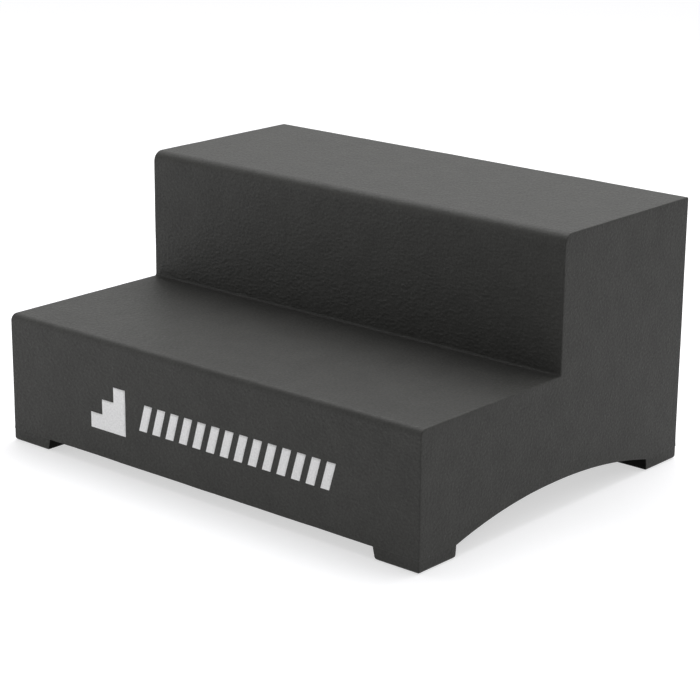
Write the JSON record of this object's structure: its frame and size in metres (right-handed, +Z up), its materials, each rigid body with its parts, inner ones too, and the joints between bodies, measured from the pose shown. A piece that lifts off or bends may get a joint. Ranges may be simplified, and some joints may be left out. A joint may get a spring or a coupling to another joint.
{
  "type": "two-tier step block",
  "caption": "Portable two-tier step block: a foam core under a textured hard coat, on corner pads, with an arched underside.",
  "frame": {"origin": "middle of the footprint, on the floor under the pads", "axes": "+X across the block's width, to the right of someone about to climb it; +Y from the climbing side to the rear; +Z up"},
  "size_m": [0.61, 0.4663, 0.3075],
  "materials": {
    "hard_coat": "satin",
    "foot_pad": "matte",
    "foam": "matte",
    "mark_paint": "matte"
  },
  "bodies": {
    "root": {"foam_core": "foam", "hard_coat": "hard_coat", "foot_front_left": "foot_pad", "foot_front_right": "foot_pad", "foot_rear_left": "foot_pad", "foot_rear_right": "foot_pad", "front_mark": "mark_paint"}
  },
  "joints": []
}
